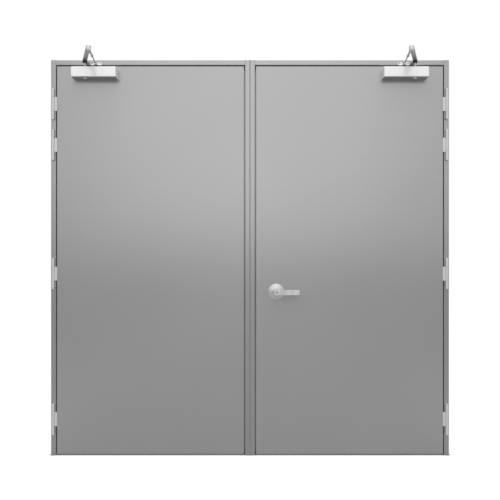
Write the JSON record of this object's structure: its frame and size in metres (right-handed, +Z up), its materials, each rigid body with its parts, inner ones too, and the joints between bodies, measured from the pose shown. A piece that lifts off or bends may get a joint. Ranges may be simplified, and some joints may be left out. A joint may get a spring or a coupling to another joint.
{
  "type": "double-leaf steel fire door with frame, centre mullion and door closers",
  "caption": "Two flush steel leaves in a pressed steel frame with a centre mullion, hung on knuckle hinges, each with an overhead closer, one with a lever handle.",
  "frame": {"origin": "centre of the underside of the plate in the mullion's foot, on the floor, in the middle of the frame's depth", "axes": "+X to the right seen from the pull side, +Y through the wall away from the pull side, +Z up"},
  "size_m": [2.17, 0.3996, 2.1525],
  "materials": {
    "frame_paint": "satin grey paint on pressed steel",
    "leaf_paint": "satin grey paint on sheet steel",
    "core_board": "mineral core board, hidden",
    "channel_steel": "folded channel, grey paint",
    "seal_rubber": "black rubber",
    "anchor_steel": "galvanised plate",
    "strike_steel": "brushed stainless plate",
    "hinge_steel": "satin zinc plated steel",
    "closer_silver": "silver painted casting",
    "spindle_steel": "dark oiled steel",
    "arm_steel": "silver painted steel",
    "lock_satin": "satin stainless steel",
    "key_steel": "satin nickel"
  },
  "bodies": {
    "frame": {"left_jamb": "frame_paint", "right_jamb": "frame_paint", "left_mullion_half": "frame_paint", "right_mullion_half": "frame_paint", "left_header": "frame_paint", "right_header": "frame_paint", "mullion_foot": "anchor_steel", "strike_plate": "strike_steel", "left_hinge_knuckles_1": "hinge_steel", "left_hinge_knuckles_2": "hinge_steel", "left_hinge_knuckles_3": "hinge_steel", "left_hinge_knuckles_4": "hinge_steel", "right_hinge_knuckles_1": "hinge_steel", "right_hinge_knuckles_2": "hinge_steel", "right_hinge_knuckles_3": "hinge_steel", "right_hinge_knuckles_4": "hinge_steel", "left_closer_shoe": "arm_steel", "right_closer_shoe": "arm_steel"},
    "left_leaf": {"left_leaf_core": "core_board", "left_pull_skin": "leaf_paint", "left_push_skin": "leaf_paint", "left_leaf_channels": "channel_steel", "left_bottom_seal": "seal_rubber", "left_hinge_flap_1": "hinge_steel", "left_hinge_flap_2": "hinge_steel", "left_hinge_flap_3": "hinge_steel", "left_hinge_flap_4": "hinge_steel", "left_closer_body": "closer_silver"},
    "right_leaf": {"right_leaf_core": "core_board", "right_pull_skin": "leaf_paint", "right_push_skin": "leaf_paint", "right_leaf_channels": "channel_steel", "right_bottom_seal": "seal_rubber", "right_hinge_flap_1": "hinge_steel", "right_hinge_flap_2": "hinge_steel", "right_hinge_flap_3": "hinge_steel", "right_hinge_flap_4": "hinge_steel", "right_closer_body": "closer_silver", "outside_rose": "lock_satin", "inside_rose": "lock_satin", "latch_plate": "strike_steel"},
    "left_main_arm": {"left_closer_spindle": "spindle_steel", "left_main_arm": "arm_steel"},
    "left_forearm": {"left_forearm": "arm_steel"},
    "right_main_arm": {"right_closer_spindle": "spindle_steel", "right_main_arm": "arm_steel"},
    "right_forearm": {"right_forearm": "arm_steel"},
    "lever": {"outside_lever": "lock_satin", "inside_lever": "lock_satin", "key_cylinder": "key_steel"}
  },
  "joints": [
    {"name": "left_leaf_swing", "type": "hinge", "parent": "frame", "child": "left_leaf", "pos_m": [-1.0703, -0.082, 0.197], "axis": [0, 0, -1], "range_deg": [0, 110], "stiffness_Nm_per_rad": 8, "springref_deg": -126.05},
    {"name": "left_main_arm_turn", "type": "hinge", "parent": "left_leaf", "child": "left_main_arm", "pos_m": [-0.8913, -0.102, 2.101], "axis": [0, 0, 1], "range_deg": [0, 167.31]},
    {"name": "left_forearm_turn", "type": "hinge", "parent": "frame", "child": "left_forearm", "pos_m": [-0.8371, -0.093, 2.131], "axis": [0, 0, -1], "range_deg": [0, 32.34]},
    {"name": "right_leaf_swing", "type": "hinge", "parent": "frame", "child": "right_leaf", "pos_m": [1.0703, -0.082, 0.197], "axis": [0, 0, 1], "range_deg": [0, 110], "stiffness_Nm_per_rad": 8, "springref_deg": -126.05},
    {"name": "right_main_arm_turn", "type": "hinge", "parent": "right_leaf", "child": "right_main_arm", "pos_m": [0.8913, -0.102, 2.101], "axis": [0, 0, -1], "range_deg": [0, 167.31]},
    {"name": "right_forearm_turn", "type": "hinge", "parent": "frame", "child": "right_forearm", "pos_m": [0.8371, -0.093, 2.131], "axis": [0, 0, 1], "range_deg": [0, 32.34]},
    {"name": "lever_turn", "type": "hinge", "parent": "right_leaf", "child": "lever", "pos_m": [0.1425, -0.073, 0.89], "axis": [0, 1, 0], "range_deg": [0, 45], "stiffness_Nm_per_rad": 2, "springref_deg": -34.38}
  ],
  "couplings": [
    {"joint": "left_main_arm_turn", "follows": "left_leaf_swing", "ratio": 1.5119},
    {"joint": "left_forearm_turn", "follows": "left_leaf_swing", "ratio": 0.2849},
    {"joint": "right_main_arm_turn", "follows": "right_leaf_swing", "ratio": 1.5119},
    {"joint": "right_forearm_turn", "follows": "right_leaf_swing", "ratio": 0.2849}
  ]
}
